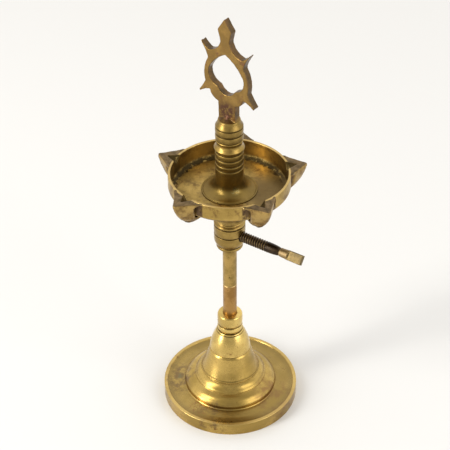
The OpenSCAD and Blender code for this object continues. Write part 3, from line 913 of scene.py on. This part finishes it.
finial = {
    "r": 7.55, "neckR": 5.65, "boreR": 4.06, "boreH": 11.0,
    "grooves": (3.8, 7.7), "grooveDeep": 0.6, "coneZ": 8.6, "ledgeZ": 12.2, "ledgeR": 6.05,
    "top": 70.7, "thick": 4.0,
    "turn": -4.7, "lean": -1.6,   # degrees: about the rod, and within the plate's own plane
}


def openworkOutline(f):
    top, neckR, ledge = f["top"], f["neckR"], f["ledgeZ"]
    outer = ([(0, top), (4.4, top - 6.4), (3, top - 11.6)]
             + bowed((2.9, top - 13.2), (10.6, top - 19.9), 1.5, 10)
             + bowed((11.0, top - 19.7), (15.6, top - 15.9), 0.4, 4)
             + bowed((15.5, top - 16.8), (11.7, top - 23.9), 0.3, 6)
             + bowed((11.6, top - 25), (13.9, top - 39.2), -1.5, 12)
             + bowed((14.2, top - 39.7), (18.2, top - 45.7), 0.2, 4)
             + bowed((17.7, top - 46.7), (11.5, top - 43.5), 0.45, 5)
             + bowed((11.0, top - 43.4), (neckR, top - 48.8), -1.2, 8)
             + [(neckR - 0.1, ledge + 2), (neckR, ledge + 0.5), (neckR, ledge - 2.2)])
    hole = (bowed((0, top - 20), (11.4, top - 31), -1.3, 12)
            + bowed((11.6, top - 32.4), (6.3, top - 39.7), -1.7, 10)
            + bowed((5.6, top - 40), (0, top - 43.8), -0.9, 8))
    return outer, hole


def makeFinial(f):
    low = lowest("finial")
    seat = f["r"] - f["grooveDeep"]
    outline = [(f["boreR"], low), (f["r"] - 0.35, low), (f["r"], low + 0.35)]
    at = 0.5
    for groove in f["grooves"]:
        outline += bowed((f["r"], low + at), (f["r"], low + groove - 0.42), 0.09, 6)
        outline += [(seat, low + groove - 0.12), (seat, low + groove + 0.12)]
        at = groove + 0.42
    outline += ([(f["r"], low + at), (f["r"], low + f["coneZ"] - 0.2)]
                + bowed((f["r"] - 0.15, low + f["coneZ"]), (f["ledgeR"], low + f["ledgeZ"] - 0.25), -0.2, 7)
                + [(f["ledgeR"] - 0.3, low + f["ledgeZ"]), (0, low + f["ledgeZ"]),
                   (0, low + f["boreH"]), (f["boreR"], low + f["boreH"])])
    look = likeTurned(gold=(0.33, 0.225, 0.062), film=(0.22, 0.145, 0.038), filmSize=9, rough=(0.30, 0.48),
                      grimeReach=1.2, packed=[low + groove for groove in f["grooves"]])
    base = finishedPiece("finialBase", turned(outline, 128, 0.1), brassFinish("finialBrass", look)[0],
                         "finial", "finial_brass", "finial")
    evenShading(base)

    plate = bmesh.new()
    for line in openworkOutline(f):
        loop = line + [(-u, z) for u, z in reversed(line) if abs(u) > 1e-6]
        verts = [plate.verts.new((u * mm, -f["thick"] / 2 * mm, (low + z) * mm)) for u, z in loop]
        for pair in zip(verts, verts[1:] + verts[:1]):
            plate.edges.new(pair)
    bmesh.ops.triangle_fill(plate, edges=plate.edges, use_beauty=True)
    grown = bmesh.ops.extrude_face_region(plate, geom=plate.faces[:])["geom"]
    bmesh.ops.translate(plate, verts=[v for v in grown if isinstance(v, bmesh.types.BMVert)],
                        vec=(0, f["thick"] * mm, 0))
    bmesh.ops.recalc_face_normals(plate, faces=plate.faces)
    bmesh.ops.rotate(plate, verts=plate.verts, cent=(0, 0, (low + f["ledgeZ"]) * mm),
                     matrix=Matrix.Rotation(math.radians(f["lean"]), 3, "Y"))
    # a low foot so that the plate's flats sweep out into the ledge
    sweep = turned([(0, low + f["ledgeZ"] - 2), (f["ledgeR"] - 0.5, low + f["ledgeZ"] - 2),
                    (f["ledgeR"] - 0.25, low + f["ledgeZ"] - 0.1),
                    (f["ledgeR"] - 1.2, low + f["ledgeZ"] + 0.25),
                    (3.4, low + f["ledgeZ"] + 1.0), (2.2, low + f["ledgeZ"] + 2.4),
                    (0, low + f["ledgeZ"] + 2.6)], 64, 0)
    whole = joined(plate, sweep)
    bmesh.ops.rotate(whole, verts=whole.verts, cent=(0, 0, 0),
                     matrix=Matrix.Rotation(math.radians(f["turn"]), 3, "Z"))

    look = likeTurned(gold=(0.265, 0.162, 0.045), film=(0.19, 0.115, 0.031), filmSize=9,
                      blotch=(0.17, 0.085, 0.035),
                      blotchSize=5, blotchEdge=(0.56, 0.70), rings=0.1, rough=(0.28, 0.46), pits=1.1,
                      grimeReach=1.5, grimeDepth=0.6,
                      spots=[{"at": (0, -2, low + 17), "size": 8.5, "grain": 3, "edge": (0.36, 0.52),
                              "colour": (0.085, 0.038, 0.020)}])
    material, tree, parts = brassFinish("openworkBrass", look)
    # the cut edges are left dark and smoky, the filed flats are clean
    turn = math.radians(f["turn"])
    facing = add(tree, "VectorMath", {0: add(tree, "NewGeometry").outputs["Normal"],
                                      1: (-math.sin(turn), math.cos(turn), 0)},
                 operation="DOT_PRODUCT").outputs["Value"]
    edge = calc(tree, "MULTIPLY", step(tree, calc(tree, "ABSOLUTE", facing), 0.75, 0.35),
                step(tree, parts["along"], (low + f["ledgeZ"] + 1) * mm, (low + f["ledgeZ"] + 4) * mm))
    smoky = tint(tree, step(tree, grain(tree, parts["point"], 4, 4.0, 0.7), 0.35, 0.65),
                 (0.075, 0.055, 0.034), (0.16, 0.09, 0.038))
    wear(tree, parts, calc(tree, "MULTIPLY", edge, 0.85), smoky)
    piece = finishedPiece("finialOpenwork", whole, material, "finial", "finial_brass", "finial")
    castSkin(piece, 0.22, 3, 0.05)
    return base, piece


makeFinial(finial)
print("finial is made")
